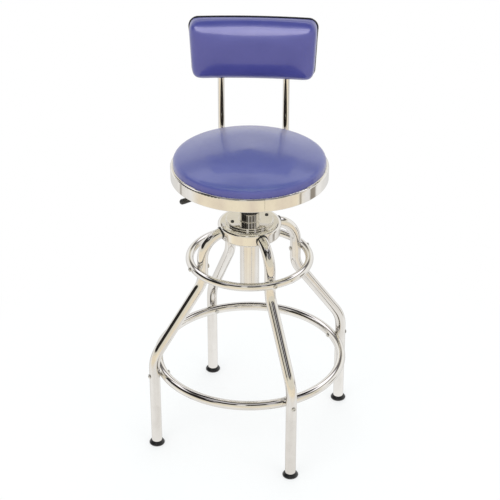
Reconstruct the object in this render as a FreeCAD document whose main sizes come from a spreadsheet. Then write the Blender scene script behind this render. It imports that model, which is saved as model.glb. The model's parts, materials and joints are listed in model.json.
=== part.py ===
"""Swivelling gas-lift stool with a round padded seat and a small padded backrest.

Millimetres.  The origin is on the floor under the column, +Z is up and the sitter faces -Y.
The seat is modelled at its lowest height.  Every piece is one labelled object of the document,
its sizes bound to the cells of the sheet "Sizes", and is written to parts/LABEL.step.
"""
import FreeCAD, Part

import math
import os

import Sketcher
from FreeCAD import Vector

# Driving dimensions: alias, value in millimetres or degrees, meaning.
SIZES = (
    ("leg_turn", 26, "turn of the front leg from straight ahead, degrees"),
    ("leg_outer", 25.4, "outer diameter of a leg tube"),
    ("leg_bore", 22.4, "inner diameter of a leg tube"),
    ("leg_root", 30, "radius at which a leg starts inside the hub"),
    ("leg_root_height", 545, "height of the leg tube inside the hub"),
    ("leg_waist", 118, "radius of the upright stretch through the upper ring"),
    ("hub_bend", 60, "bend radius of a leg where it leaves the hub"),
    ("splay_height", 424, "height at which a leg starts to splay"),
    ("splay_bend", 60, "bend radius at the start of the splay"),
    ("ankle_height", 245, "height at which a leg turns upright again"),
    ("ankle_bend", 90, "bend radius at the ankle"),
    ("foot_circle", 244.5, "radius of the circle through the feet"),
    ("foot_outer", 39, "largest diameter of a rubber foot"),
    ("foot_contact", 34, "diameter of a foot's flat sole"),
    ("foot_height", 10, "height of a rubber foot"),
    ("foot_edge", 3, "height of a foot's widest edge"),
    ("foot_stem", 18, "length of a foot's stem inside its leg"),
    ("leg_end", 9, "height of the lower ends of the legs"),
    ("footrest_outer", 22, "tube diameter of the footrest ring"),
    ("footrest_bore", 19, "tube bore of the footrest ring"),
    ("footrest_height", 196, "height of the footrest ring"),
    ("upper_ring_outer", 19, "tube diameter of the upper ring"),
    ("upper_ring_bore", 16, "tube bore of the upper ring"),
    ("upper_ring_height", 464, "height of the upper ring"),
    ("bolt_shank", 6, "diameter of the M6 bolts"),
    ("bolt_hole", 6.2, "diameter of the holes for M6 bolts"),
    ("bolt_head", 11, "head diameter of the M6 bolts"),
    ("bolt_head_height", 2.8, "head height of the M6 bolts"),
    ("bolt_socket", 4, "width across flats of the sockets in the ring bolts"),
    ("sleeve_outer", 8, "barrel diameter of the sleeve nuts behind the ring bolts"),
    ("nut_flats", 10, "width across flats of the M6 nuts"),
    ("nut_height", 5, "height of the M6 nuts"),
    ("tee_outer", 8, "barrel diameter of the tee nuts"),
    ("tee_flange", 18, "flange diameter of the tee nuts"),
    ("tee_metal", 1.2, "flange thickness of the tee nuts"),
    ("hub_outer", 143, "diameter of the hub cup"),
    ("hub_bottom", 527, "underside of the hub cup"),
    ("hub_rim", 553.9, "rim of the hub cup"),
    ("hub_wall", 3, "wall of the hub castings"),
    ("lid_outer", 147.4, "diameter of the hub lid"),
    ("lid_skirt", 552, "lower edge of the lid's skirt"),
    ("lid_shoulder", 561, "height of the lid's shoulder"),
    ("lid_disc", 110, "diameter of the lid's raised disc"),
    ("lid_top", 567, "top of the lid's raised disc"),
    ("hub_screw_circle", 43, "radius of the circle through the hub screws"),
    ("screw_head", 8, "head diameter of the hub screws"),
    ("screw_head_height", 1.8, "head height of the hub screws"),
    ("screw_socket", 4, "diameter of the sockets in the hub screws"),
    ("screw_socket_depth", 1.2, "depth of the sockets in the hub screws"),
    ("boss_outer", 14, "diameter of the screw bosses"),
    ("grommet_wall", 1.5, "wall of the grommet around each leg"),
    ("grommet_start", 4, "turn from a leg's bend start to its grommet, degrees"),
    ("grommet_sweep", 10.5, "sweep of a grommet along the bend, degrees"),
    ("column_outer", 45, "outer diameter of the column tube"),
    ("column_bore", 41, "inner diameter of the column tube"),
    ("column_bottom", 393, "lower end of the column tube"),
    ("column_top", 585, "upper end of the column tube"),
    ("collar_outer", 52, "diameter of the collars that clamp the hub"),
    ("collar_height", 1.5, "height of the collars that clamp the hub"),
    ("bushing_bottom", 520, "lower end of the guide bushing"),
    ("bushing_top", 593, "top of the guide bushing's flange"),
    ("end_plate", 3, "thickness of the column's end plate"),
    ("ball_outer", 3, "diameter of a bearing ball"),
    ("ball_circle", 10, "radius of the circle through the balls"),
    ("race_outer", 28, "diameter of the bearing races"),
    ("lower_race", 1, "thickness of the lower race"),
    ("upper_race", 1.5, "thickness of the upper race"),
    ("rod_outer", 10, "diameter of the piston rod"),
    ("rod_neck", 8, "diameter of the rod inside the thrust bearing"),
    ("rod_bottom", 387, "lower end of the piston rod"),
    ("clip_outer", 16, "diameter of the clip on the rod"),
    ("clip_metal", 1.6, "thickness of the clip on the rod"),
    ("piston_bottom", 550, "underside of the piston"),
    ("piston_height", 12, "height of the piston"),
    ("cylinder_outer", 28, "outer diameter of the gas cylinder"),
    ("cylinder_bore", 24, "bore of the gas cylinder"),
    ("cylinder_bottom", 405, "lower end of the gas cylinder"),
    ("gland_height", 15, "height of the gland round the rod"),
    ("taper_bottom", 595, "start of the cylinder's taper"),
    ("cylinder_top", 645, "upper end of the gas cylinder"),
    ("taper_outer", 26, "small diameter of the cylinder's taper"),
    ("valve_outer", 16, "diameter of the valve body"),
    ("valve_height", 19, "height of the valve body"),
    ("pin_outer", 6, "diameter of the release pin"),
    ("lever_turn", 216, "direction of the height lever from +X, degrees"),
    ("lever_height", 659.5, "height of the height lever"),
    ("lever_outer", 8, "diameter of the lever rod"),
    ("lever_pivot", 35, "radius of the lever's pivot"),
    ("pivot_outer", 5, "diameter of the lever's pivot pin"),
    ("eye_outer", 14, "diameter of the lever's pivot eye"),
    ("eye_width", 20, "width of the lever's pivot eye"),
    ("knob_tip", 184.5, "radius of the knob's tip"),
    ("knob_length", 36, "length of the knob"),
    ("knob_outer", 12.8, "largest diameter of the knob"),
    ("bracket_bottom", 645, "underside of the lever bracket"),
    ("bracket_width", 50, "width of the lever bracket"),
    ("bracket_length", 88, "length of the lever bracket"),
    ("bracket_back", 34, "reach of the bracket behind the column axis"),
    ("plate_width", 112, "width of the seat plate"),
    ("plate_depth", 144, "depth of the seat plate, front to back"),
    ("plate_bolt_x", 45, "distance of the plate's bolts to the sides"),
    ("plate_bolt_y", 60, "distance of the plate's bolts to front and back"),
    ("sheet_metal", 2.5, "thickness of the pressed steel"),
    ("board_bottom", 680, "underside of the seat board"),
    ("board_thickness", 12, "thickness of the seat board"),
    ("seat_outer", 360, "diameter of the seat's metal band"),
    ("band_bottom", 674.5, "lower edge of the band"),
    ("band_top", 706, "top of the band's rolled lip"),
    ("band_metal", 1.5, "thickness of the band"),
    ("band_lip", 7, "width of the band's rolled lip"),
    ("band_flange", 12, "width of the band's flange under the board"),
    ("band_seam_turn", -76.5, "direction of the seam in the band from +X, degrees"),
    ("band_seam", 0.15, "angle left open at the seam, degrees"),
    ("seat_top", 743, "top of the seat cushion"),
    ("seat_edge", 722, "height of the cushion's upper edge"),
    ("seat_edge_rounding", 6, "rounding of the cushion's upper edge"),
    ("seat_slope", 62, "width of the slope inside the cushion's edge"),
    ("seat_slope_top", 736.5, "height of the slope's inner end"),
    ("post_outer", 15.9, "outer diameter of a backrest post"),
    ("post_bore", 12.9, "inner diameter of a backrest post"),
    ("post_spread", 76, "distance of each post from the middle"),
    ("post_depth", 187, "distance of the posts behind the column axis"),
    ("post_run_height", 666, "height of the posts' stretch under the seat"),
    ("post_run_start", 40, "front end of the posts' stretch under the seat"),
    ("post_bend", 28, "bend radius of a post"),
    ("post_bolt_front", 60, "distance of a post's front bolt behind the column axis"),
    ("post_bolt_back", 130, "distance of a post's rear bolt behind the column axis"),
    ("post_top", 975, "upper end of the posts"),
    ("pad_bottom", 848, "lower edge of the backrest"),
    ("pad_top", 992, "upper edge of the backrest"),
    ("pad_bottom_width", 280, "width of the backrest at its lower edge"),
    ("pad_top_width", 300, "width of the backrest at its upper edge"),
    ("pad_corner", 22, "corner radius of the backrest"),
    ("pad_bolt_inset", 34, "distance of the backrest's bolts from its upper and lower edges"),
    ("pad_back", 181.6, "distance of the backrest's back from the column axis"),
    ("pad_bow", 1095, "radius to which the backrest is bowed round the sitter"),
    ("cover_thickness", 2.5, "thickness of the backrest's rear cover"),
    ("back_board_thickness", 10, "thickness of the backrest board"),
    ("back_board_inset", 6, "distance of the backrest board's edge inside the cover's"),
    ("pad_thickness", 38, "thickness of the backrest cushion"),
    ("pad_inset", 1.5, "distance of the backrest cushion's edge inside the cover's"),
)

LEG_COUNT = 4
LEG_NAMES = ("front", "right", "back", "left")
SCREWED_LEGS = (1, 3)  # the legs whose roots the two hub screws pass through
BALL_COUNT = 12
FIT_GAP = 0.05  # radial clearance between a shaft and the hole it fits
HOLE_GAP = 2 * FIT_GAP  # what that adds to the hole's diameter
BOSS_ROOT = 1  # depth to which a screw boss reaches into the casting that carries it

doc = FreeCAD.newDocument("Stool")
sheet = doc.addObject("Spreadsheet::Sheet", "Sizes")
pieces = []


# ---- bound numbers -----------------------------------------------------------------------------

class Dim:
    """A number together with the sheet expression that gives it."""

    def __init__(self, value, text=None):
        self.value = value
        self.text = text or repr(value)

    def _join(self, other, sign, value, swapped=False):
        other = as_dim(other)
        left, right = (other, self) if swapped else (self, other)
        return Dim(value(left.value, right.value), f"({left.text} {sign} {right.text})")

    def __add__(self, other):
        return self._join(other, "+", lambda a, b: a + b)

    def __radd__(self, other):
        return self._join(other, "+", lambda a, b: a + b, swapped=True)

    def __sub__(self, other):
        return self._join(other, "-", lambda a, b: a - b)

    def __rsub__(self, other):
        return self._join(other, "-", lambda a, b: a - b, swapped=True)

    def __mul__(self, other):
        return self._join(other, "*", lambda a, b: a * b)

    def __rmul__(self, other):
        return self._join(other, "*", lambda a, b: a * b, swapped=True)

    def __truediv__(self, other):
        return self._join(other, "/", lambda a, b: a / b)

    def __neg__(self):
        return 0 - self


def as_dim(number):
    return number if isinstance(number, Dim) else Dim(float(number))


def cosine(angle):
    return Dim(math.cos(math.radians(angle.value)), f"cos({angle.text} * 1 deg)")


def sine(angle):
    return Dim(math.sin(math.radians(angle.value)), f"sin({angle.text} * 1 deg)")


class Sizes:
    """The sheet's cells by alias, as bound numbers."""

    def __init__(self):
        for row, (alias, value, meaning) in enumerate(SIZES, start=1):
            sheet.set(f"A{row}", meaning)
            sheet.set(f"B{row}", str(value))
            sheet.setAlias(f"B{row}", alias)
            setattr(self, alias, Dim(float(value), f"Sizes.{alias}"))
        doc.recompute()


S = Sizes()


def bind(thing, path, number):
    """Hold a property of an object at a bound number."""
    thing.setExpression(path, as_dim(number).text)


# ---- sketches ----------------------------------------------------------------------------------

def new_body(label):
    body = doc.addObject("PartDesign::Body", label)
    body.Label = label
    pieces.append(body)
    return body


def new_sketch(body, role, shift=(0, 0, 0), tilt=None):
    """A sketch on an origin plane of the body, shifted in the plane's own frame.

    XY_Plane looks along -Z.  XZ_Plane draws X across and Z up, with its normal along -Y.
    YZ_Plane draws Y across and Z up, with its normal along +X.
    """
    sketch = body.newObject("Sketcher::SketchObject", f"{body.Name}_sketch")
    planes = {feature.Role: feature for feature in body.Origin.OriginFeatures}
    sketch.AttachmentSupport = [(planes[role], "")]
    sketch.MapMode = "FlatFace"
    if tilt:
        sketch.AttachmentOffset = FreeCAD.Placement(Vector(), Vector(1, 0, 0), tilt)
    for axis, distance in zip("xyz", shift):
        bind(sketch, f"AttachmentOffset.Base.{axis}", distance)
    return sketch


def constrain(sketch, kind, *args, number):
    """Add a constraint whose value is a bound number."""
    index = sketch.addConstraint(Sketcher.Constraint(kind, *args, as_dim(number).value))
    bind(sketch, f"Constraints[{index}]", number)


def hold_point(sketch, geometry, vertex, spot):
    constrain(sketch, "DistanceX", -1, 1, geometry, vertex, number=spot[0])
    constrain(sketch, "DistanceY", -1, 1, geometry, vertex, number=spot[1])


def point(spot):
    return Vector(as_dim(spot[0]).value, as_dim(spot[1]).value, 0)


def draw_lines(sketch, corners, closed):
    """Straight lines through corners (x, y) or (x, y, radius), with the given corners rounded."""
    ends = list(zip(corners, corners[1:] + corners[:1] if closed else corners[1:]))
    for start, end in ends:
        sketch.addGeometry(Part.LineSegment(point(start), point(end)), False)
    count = len(ends)
    joined = range(count) if closed else range(1, count)
    for line in joined:
        sketch.addConstraint(Sketcher.Constraint("Coincident", (line - 1) % count, 2, line, 1))
    for line in range(count):
        hold_point(sketch, line, 1, corners[line])
    if not closed:
        hold_point(sketch, count - 1, 2, corners[-1])
    middles = [(point(start) + point(end)) * 0.5 for start, end in ends]
    for line in joined:
        if len(corners[line]) == 3:
            before = (line - 1) % count
            radius = as_dim(corners[line][2])
            sketch.fillet(before, line, middles[before], middles[line], radius.value, True, True)
            arc = sketch.GeometryCount - 2  # the fillet adds an arc, then the kept corner point
            constrain(sketch, "Radius", arc, number=radius)


def draw_circle(sketch, spot, diameter):
    centre = point(spot)
    circle = sketch.addGeometry(Part.Circle(centre, Vector(0, 0, 1), as_dim(diameter).value / 2))
    hold_point(sketch, circle, 3, spot)
    constrain(sketch, "Diameter", circle, number=diameter)


# ---- features ----------------------------------------------------------------------------------

def revolve(body, sketch, axis="V_Axis", angle=360):
    turned = body.newObject("PartDesign::Revolution", f"{body.Name}_turned")
    turned.Profile = sketch
    turned.ReferenceAxis = (sketch, [axis])
    bind(turned, "Angle", angle)
    return turned


def pad(body, sketch, length, both_ways=False):
    """Thicken a sketch along its normal, or by half the length to each side."""
    padded = body.newObject("PartDesign::Pad", f"{body.Name}_pad")
    padded.Profile = sketch
    bind(padded, "Length", length)
    if both_ways:
        padded.SideType = "Symmetric"
    return padded


def check_cut(body, cut, before):
    doc.recompute()
    if not cut.Shape.Volume < before - 1e-3:
        raise RuntimeError(f"{cut.Name} of {body.Label} removes nothing")
    return cut


def cut_through(body, sketch):
    """Cut a sketch right through the body, to both sides of its plane."""
    doc.recompute()
    before = body.Shape.Volume
    pocket = body.newObject("PartDesign::Pocket", f"{body.Name}_hole")
    pocket.Profile = sketch
    pocket.Type = "ThroughAll"
    pocket.SideType = "Symmetric"
    return check_cut(body, pocket, before)


def cut_down(body, sketch, depth):
    """Cut a sketch against its normal, to the given depth."""
    doc.recompute()
    before = body.Shape.Volume
    pocket = body.newObject("PartDesign::Pocket", f"{body.Name}_recess")
    pocket.Profile = sketch
    bind(pocket, "Length", depth)
    return check_cut(body, pocket, before)


def repeat_round(body, originals, count=LEG_COUNT):
    """Repeat features evenly round the body's own Z axis."""
    doc.recompute()
    pattern = body.newObject("PartDesign::PolarPattern", f"{body.Name}_pattern")
    pattern.Originals = originals
    planes = {feature.Role: feature for feature in body.Origin.OriginFeatures}
    pattern.Axis = (planes["Z_Axis"], [""])
    pattern.Angle = 360
    pattern.Occurrences = count
    body.Tip = pattern


def place(thing, x=0, y=0, turn=0):
    """Move an object in plan and turn it about Z, by bound numbers."""
    bind(thing, "Placement.Base.x", x)
    bind(thing, "Placement.Base.y", y)
    bind(thing, "Placement.Rotation.Angle", turn)


def leg_direction(index):
    """Direction of a leg from +X, counted from the front leg."""
    return S.leg_turn + (index * 360 / LEG_COUNT - 90)


# ---- kinds of piece ----------------------------------------------------------------------------

def turned(label, outline, angle=360):
    """A piece turned about the column axis from an outline of (radius, height) corners."""
    body = new_body(label)
    sketch = new_sketch(body, "XZ_Plane")
    draw_lines(sketch, outline, closed=True)
    revolve(body, sketch, angle=angle)
    return body


def washer_outline(bore, outer, bottom, top, rounding=None):
    """Outline of a plain ring of the given diameters, its outer top edge rounded if asked."""
    top_corner = (outer / 2, top, rounding) if rounding else (outer / 2, top)
    return [(bore / 2, bottom), (outer / 2, bottom), top_corner, (bore / 2, top)]


def bent_tube(label, path, outer, bore):
    """A round tube along a path of (x, z) corners that starts along +X."""
    body = new_body(label)
    line = new_sketch(body, "XZ_Plane")
    draw_lines(line, path, closed=False)
    section = new_sketch(body, "YZ_Plane", shift=(0, path[0][1], path[0][0]))
    draw_circle(section, (0, 0), outer)
    draw_circle(section, (0, 0), bore)
    doc.recompute()
    pipe = body.newObject("PartDesign::AdditivePipe", f"{body.Name}_pipe")
    pipe.Profile = section
    pipe.Spine = line
    pipe.Mode = "Frenet"
    return body


def drill(body, role, spots, diameter=S.bolt_hole):
    """Round holes right through the body, square to an origin plane."""
    sketch = new_sketch(body, role)
    for spot in spots:
        draw_circle(sketch, spot, diameter)
    return cut_through(body, sketch)


def stacks(label, role, spots, layers, bore=None):
    """Separate stepped cylinders at every spot, from layers of (diameter, start, end)."""
    body = new_body(label)
    for diameter, start, end in layers:
        sketch = new_sketch(body, role, shift=(0, 0, start))
        for spot in spots:
            draw_circle(sketch, spot, diameter)
        pad(body, sketch, end - start)
    if bore:
        drill(body, role, spots, bore)
    return body


def hexagon(flats, middle=(0, 0)):
    """Corners of a hexagon of the given width across flats, with flats facing across."""
    radius = flats / 2 / math.cos(math.pi / 6)
    steps = [math.radians(60 * step + 30) for step in range(6)]
    return [(middle[0] + radius * math.cos(step), middle[1] + radius * math.sin(step)) for step in steps]


# ---- legs, feet and rings ----------------------------------------------------------------------

def leg(index):
    label = f"leg_{LEG_NAMES[index]}"
    path = [
        (S.leg_root, S.leg_root_height),
        (S.leg_waist, S.leg_root_height, S.hub_bend),
        (S.leg_waist, S.splay_height, S.splay_bend),
        (S.foot_circle, S.ankle_height, S.ankle_bend),
        (S.foot_circle, S.leg_end),
    ]
    body = bent_tube(label, path, S.leg_outer, S.leg_bore)
    drill(body, "YZ_Plane", [(0, S.footrest_height), (0, S.upper_ring_height)], sleeve_hole())
    if index in SCREWED_LEGS:
        drill(body, "XY_Plane", [(S.hub_screw_circle, 0)])
    place(body, turn=leg_direction(index))


def foot(index):
    """A rubber foot: a domed flange under the leg, with a stem pressed into its bore."""
    edge = S.foot_outer / 2
    collar = S.leg_outer / 2 + FIT_GAP
    collar_wall = 1.5
    stem = S.leg_bore / 2 - FIT_GAP
    stem_top = S.leg_end + S.foot_stem
    outline = [
        (0, 0),
        (S.foot_contact / 2, 0, 1.5),
        (edge, S.foot_edge, 3),
        (collar + collar_wall, S.foot_height, 2),
        (collar, S.foot_height),
        (collar, S.leg_end),
        (stem, S.leg_end),
        (stem, stem_top, 2),
        (0, stem_top),
    ]
    body = turned(f"foot_{LEG_NAMES[index]}", outline)
    direction = leg_direction(index)
    place(body, S.foot_circle * cosine(direction), S.foot_circle * sine(direction))


def sleeve_hole():
    """Diameter of the holes that take the sleeve nuts' barrels."""
    return S.sleeve_outer + HOLE_GAP


def ring(label, radius, height, outer, bore):
    """A ring of round tube with a bolt hole where it crosses each leg."""
    body = new_body(label)
    section = new_sketch(body, "XZ_Plane")
    draw_circle(section, (radius, height), outer)
    draw_circle(section, (radius, height), bore)
    revolve(body, section)
    drill(body, "YZ_Plane", [(0, height)], sleeve_hole())
    drill(body, "XZ_Plane", [(0, height)], sleeve_hole())
    place(body, turn=leg_direction(0))


def button_head(seat, away, inner_radius):
    """Outline from a shank or barrel over a low domed head that stands away (+1 or -1) from seat."""
    head = S.bolt_head / 2
    top = seat + away * S.bolt_head_height
    straight_edge = 0.5
    dome = S.bolt_head_height - straight_edge
    return [(seat, inner_radius), (seat, head), (top, head, dome), (top, 0)]


def ring_bolts(label, height, seat, tip):
    """Button-head bolts that point at the column, heads against radius seat, tips at radius tip."""
    body = new_body(label)
    shank = S.bolt_shank / 2
    sketch = new_sketch(body, "XZ_Plane", shift=(0, height, 0))
    draw_lines(sketch, [(tip, 0), (tip, shank)] + button_head(seat, 1, shank), closed=True)
    bolt = revolve(body, sketch, "H_Axis")
    socket = new_sketch(body, "YZ_Plane", shift=(0, height, seat + S.bolt_head_height))
    draw_lines(socket, hexagon(S.bolt_socket), closed=True)
    recess = cut_down(body, socket, S.bolt_head_height / 2)
    repeat_round(body, [bolt, recess])
    place(body, turn=leg_direction(0))


def ring_nuts(label, height, seat, tip):
    """Sleeve nuts on the ring bolts: low domed heads against radius seat, barrels out to tip."""
    body = new_body(label)
    barrel = S.sleeve_outer / 2
    sketch = new_sketch(body, "XZ_Plane", shift=(0, height, 0))
    draw_lines(sketch, [(tip, 0), (tip, barrel)] + button_head(seat, -1, barrel), closed=True)
    sleeve = revolve(body, sketch, "H_Axis")
    thread = new_sketch(body, "YZ_Plane", shift=(0, height, tip))
    draw_circle(thread, (0, 0), S.bolt_shank + HOLE_GAP)
    hole = cut_down(body, thread, tip - seat)
    repeat_round(body, [sleeve, hole])
    place(body, turn=leg_direction(0))


def ring_fasteners(name, height, inside, outside):
    """Bolts from the outside and sleeve nuts from the inside, through a ring and all four legs."""
    end_gap = 3
    ring_bolts(f"{name}_bolts", height, outside, inside + end_gap)
    ring_nuts(f"{name}_nuts", height, inside, outside - end_gap)


def footrest():
    """The large ring stands inside the legs."""
    radius = S.foot_circle - (S.leg_outer + S.footrest_outer) / 2
    curve_gap = 0.1  # a flat head touches the ring's curve at its rim
    inside = radius - S.footrest_outer / 2 - curve_gap
    ring("footrest_ring", radius, S.footrest_height, S.footrest_outer, S.footrest_bore)
    ring_fasteners("footrest_ring", S.footrest_height, inside, S.foot_circle + S.leg_outer / 2)


def upper_ring():
    """The small ring stands outside the legs."""
    radius = S.leg_waist + (S.leg_outer + S.upper_ring_outer) / 2
    outside = radius + S.upper_ring_outer / 2
    ring("upper_ring", radius, S.upper_ring_height, S.upper_ring_outer, S.upper_ring_bore)
    ring_fasteners("upper_ring", S.upper_ring_height, S.leg_waist - S.leg_outer / 2, outside)


# ---- hub ---------------------------------------------------------------------------------------

def bend_sketch(body, tilt=None):
    """A sketch square to a leg at the start of its hub bend, with the bend's axis across it."""
    bend_centre = S.leg_root_height - S.hub_bend
    return new_sketch(body, "YZ_Plane", shift=(0, bend_centre, S.leg_waist - S.hub_bend), tilt=tilt)


def hub_screw_spots():
    """The screws stand over the left and right legs, seen along the front leg."""
    return [(0, side * S.hub_screw_circle) for side in (-1, 1)]


def finish_hub_half(body, boss_start, boss_end):
    """Add bosses over all four legs, the two screw holes and the openings for the legs."""
    opening_sweep = 40
    drill(body, "XY_Plane", [(0, 0)], S.column_outer + HOLE_GAP)
    boss_sketch = new_sketch(body, "XY_Plane", shift=(0, 0, boss_start))
    draw_circle(boss_sketch, (S.hub_screw_circle, 0), S.boss_outer)
    boss = pad(body, boss_sketch, boss_end - boss_start)
    opening_sketch = bend_sketch(body)
    opening = S.leg_outer + 2 * S.grommet_wall + HOLE_GAP
    draw_circle(opening_sketch, (0, S.hub_bend), opening)
    doc.recompute()
    before = body.Shape.Volume
    groove = body.newObject("PartDesign::Groove", f"{body.Name}_opening")
    groove.Profile = opening_sketch
    groove.ReferenceAxis = (opening_sketch, ["H_Axis"])
    groove.Angle = opening_sweep
    check_cut(body, groove, before)
    repeat_round(body, [boss, groove])
    drill(body, "XY_Plane", hub_screw_spots())
    place(body, turn=leg_direction(0))


def hub_cup():
    outer = S.hub_outer / 2
    floor = S.hub_bottom + S.hub_wall
    inner = outer - S.hub_wall
    outline = [
        (0, S.hub_bottom),
        (outer, S.hub_bottom, 5),
        (outer, S.hub_rim),
        (inner, S.hub_rim),
        (inner, floor, 2),
        (0, floor),
    ]
    body = turned("hub_cup", outline)
    finish_hub_half(body, floor - BOSS_ROOT, S.leg_root_height - S.leg_outer / 2 - FIT_GAP)


def hub_lid():
    outer = S.lid_outer / 2
    skirt_wall = 2
    skirt = outer - skirt_wall
    disc = S.lid_disc / 2
    under_disc = S.lid_top - S.hub_wall
    under_shoulder = S.lid_shoulder - S.hub_wall
    outline = [
        (0, S.lid_top),
        (disc, S.lid_top, 1.5),
        (disc, S.lid_shoulder, 1),
        (outer, S.lid_shoulder, 8),
        (outer, S.lid_skirt),
        (skirt, S.lid_skirt),
        (skirt, under_shoulder, 5),
        (disc - S.hub_wall, under_shoulder),
        (disc - S.hub_wall, under_disc),
        (0, under_disc),
    ]
    body = turned("hub_lid", outline)
    finish_hub_half(body, S.leg_root_height + S.leg_outer / 2 + FIT_GAP, under_disc + BOSS_ROOT)


def hub_fasteners():
    """Socket screws down through lid, leg roots and cup, with nuts below."""
    head_top = S.lid_top + S.screw_head_height
    tip = S.hub_bottom - S.nut_height - 1
    layers = [
        (S.bolt_shank, tip, S.lid_top),
        (S.screw_head, S.lid_top, head_top),
    ]
    body = stacks("hub_screws", "XY_Plane", hub_screw_spots(), layers)
    socket = new_sketch(body, "XY_Plane", shift=(0, 0, head_top))
    for spot in hub_screw_spots():
        draw_circle(socket, spot, S.screw_socket)
    cut_down(body, socket, S.screw_socket_depth)
    place(body, turn=leg_direction(0))

    nuts = new_body("hub_nuts")
    base = new_sketch(nuts, "XY_Plane", shift=(0, 0, S.hub_bottom - S.nut_height))
    draw_lines(base, hexagon(S.nut_flats, (0, S.hub_screw_circle)), closed=True)
    hexagonal = pad(nuts, base, S.nut_height)
    repeat_round(nuts, [hexagonal], 2)
    drill(nuts, "XY_Plane", hub_screw_spots(), S.bolt_shank + HOLE_GAP)
    place(nuts, turn=leg_direction(0))


def leg_grommets():
    """Plastic sleeves that line the hub's openings, curved with the legs."""
    body = new_body("leg_grommets")
    section = bend_sketch(body, tilt=S.grommet_start.value)
    draw_circle(section, (0, S.hub_bend), S.leg_outer + 2 * S.grommet_wall)
    draw_circle(section, (0, S.hub_bend), S.leg_outer + HOLE_GAP)
    sleeve = revolve(body, section, "H_Axis", angle=S.grommet_sweep)
    repeat_round(body, [sleeve])
    place(body, turn=leg_direction(0))


# ---- column and gas lift -----------------------------------------------------------------------

def column_tube():
    """Two plain cylinders, one cut from the other."""
    outside = doc.addObject("Part::Cylinder", "column_outside")
    inside = doc.addObject("Part::Cylinder", "column_inside")
    for cylinder, diameter in ((outside, S.column_outer), (inside, S.column_bore)):
        bind(cylinder, "Radius", diameter / 2)
        bind(cylinder, "Height", S.column_top - S.column_bottom)
        bind(cylinder, "Placement.Base.z", S.column_bottom)
    tube = doc.addObject("Part::Cut", "column_tube")
    tube.Base = outside
    tube.Tool = inside
    pieces.append(tube)


def column_fittings():
    """Hub collars, guide bushing, end plate and the thrust bearing's lower race."""
    bore = S.column_outer + HOLE_GAP
    upper = washer_outline(bore, S.collar_outer, S.lid_top, S.lid_top + S.collar_height, 1)
    turned("column_collar", upper)
    lower = washer_outline(bore, S.collar_outer, S.hub_bottom - S.collar_height, S.hub_bottom)
    turned("column_lower_collar", lower)

    guide = S.cylinder_outer / 2 + FIT_GAP
    sleeve = S.column_bore / 2 - FIT_GAP
    step = 0.5
    flange = S.column_outer / 2 - step
    outline = [
        (guide, S.bushing_bottom),
        (sleeve, S.bushing_bottom),
        (sleeve, S.column_top),
        (flange, S.column_top),
        (flange, S.bushing_top, 2),
        (guide, S.bushing_top),
    ]
    turned("guide_bushing", outline)

    loose = S.rod_neck + 4 * HOLE_GAP
    plate = washer_outline(loose, S.column_bore - HOLE_GAP, S.column_bottom, plate_top())
    turned("column_end_plate", plate)
    turned("bearing_lower_race", washer_outline(loose, S.race_outer, plate_top(), race_top()))


def plate_top():
    return S.column_bottom + S.end_plate


def race_top():
    return plate_top() + S.lower_race


def ball_top():
    return race_top() + S.ball_outer + HOLE_GAP


def thrust_bearing():
    """A ring of balls between two flat races, and the upper race."""
    body = new_body("bearing_balls")
    half = new_sketch(body, "XZ_Plane", shift=(S.ball_circle, race_top() + FIT_GAP, 0))
    radius = S.ball_outer.value / 2
    middle = Vector(0, radius, 0)
    arc = Part.ArcOfCircle(Part.Circle(middle, Vector(0, 0, 1), radius), -math.pi / 2, math.pi / 2)
    half.addGeometry(arc, False)
    half.addGeometry(Part.LineSegment(Vector(0, 2 * radius, 0), Vector(0, 0, 0)), False)
    half.addConstraint(Sketcher.Constraint("Coincident", 0, 2, 1, 1))
    half.addConstraint(Sketcher.Constraint("Coincident", 1, 2, 0, 1))
    half.addConstraint(Sketcher.Constraint("Coincident", 1, 2, -1, 1))
    half.addConstraint(Sketcher.Constraint("PointOnObject", 0, 3, -2))
    half.addConstraint(Sketcher.Constraint("PointOnObject", 1, 1, -2))
    constrain(half, "Radius", 0, number=S.ball_outer / 2)
    ball = revolve(body, half)
    repeat_round(body, [ball], BALL_COUNT)

    race = washer_outline(S.rod_neck + HOLE_GAP, S.race_outer, ball_top(), upper_race_top())
    turned("bearing_upper_race", race)


def upper_race_top():
    return ball_top() + S.upper_race


def piston_rod():
    """The rod stands on the thrust bearing, with a clip under the column's end plate."""
    neck = S.rod_neck / 2
    groove_depth = 0.6
    groove = neck - groove_depth
    clip_top = S.column_bottom - HOLE_GAP
    clip_bottom = clip_top - S.clip_metal
    rod = S.rod_outer / 2
    piston_top = S.piston_bottom + S.piston_height
    rod_top = piston_top + 2
    outline = [
        (0, S.rod_bottom),
        (neck, S.rod_bottom, 1),
        (neck, clip_bottom),
        (groove, clip_bottom),
        (groove, clip_top),
        (neck, clip_top),
        (neck, upper_race_top()),
        (rod, upper_race_top()),
        (rod, S.piston_bottom),
        (neck, S.piston_bottom),
        (neck, rod_top),
        (0, rod_top),
    ]
    turned("piston_rod", outline)
    piston_outer = S.cylinder_bore - HOLE_GAP
    turned("piston", washer_outline(S.rod_neck + HOLE_GAP, piston_outer, S.piston_bottom, piston_top))
    clip = washer_outline(2 * groove + HOLE_GAP, S.clip_outer, clip_bottom, clip_top)
    turned("rod_clip", clip)


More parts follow.
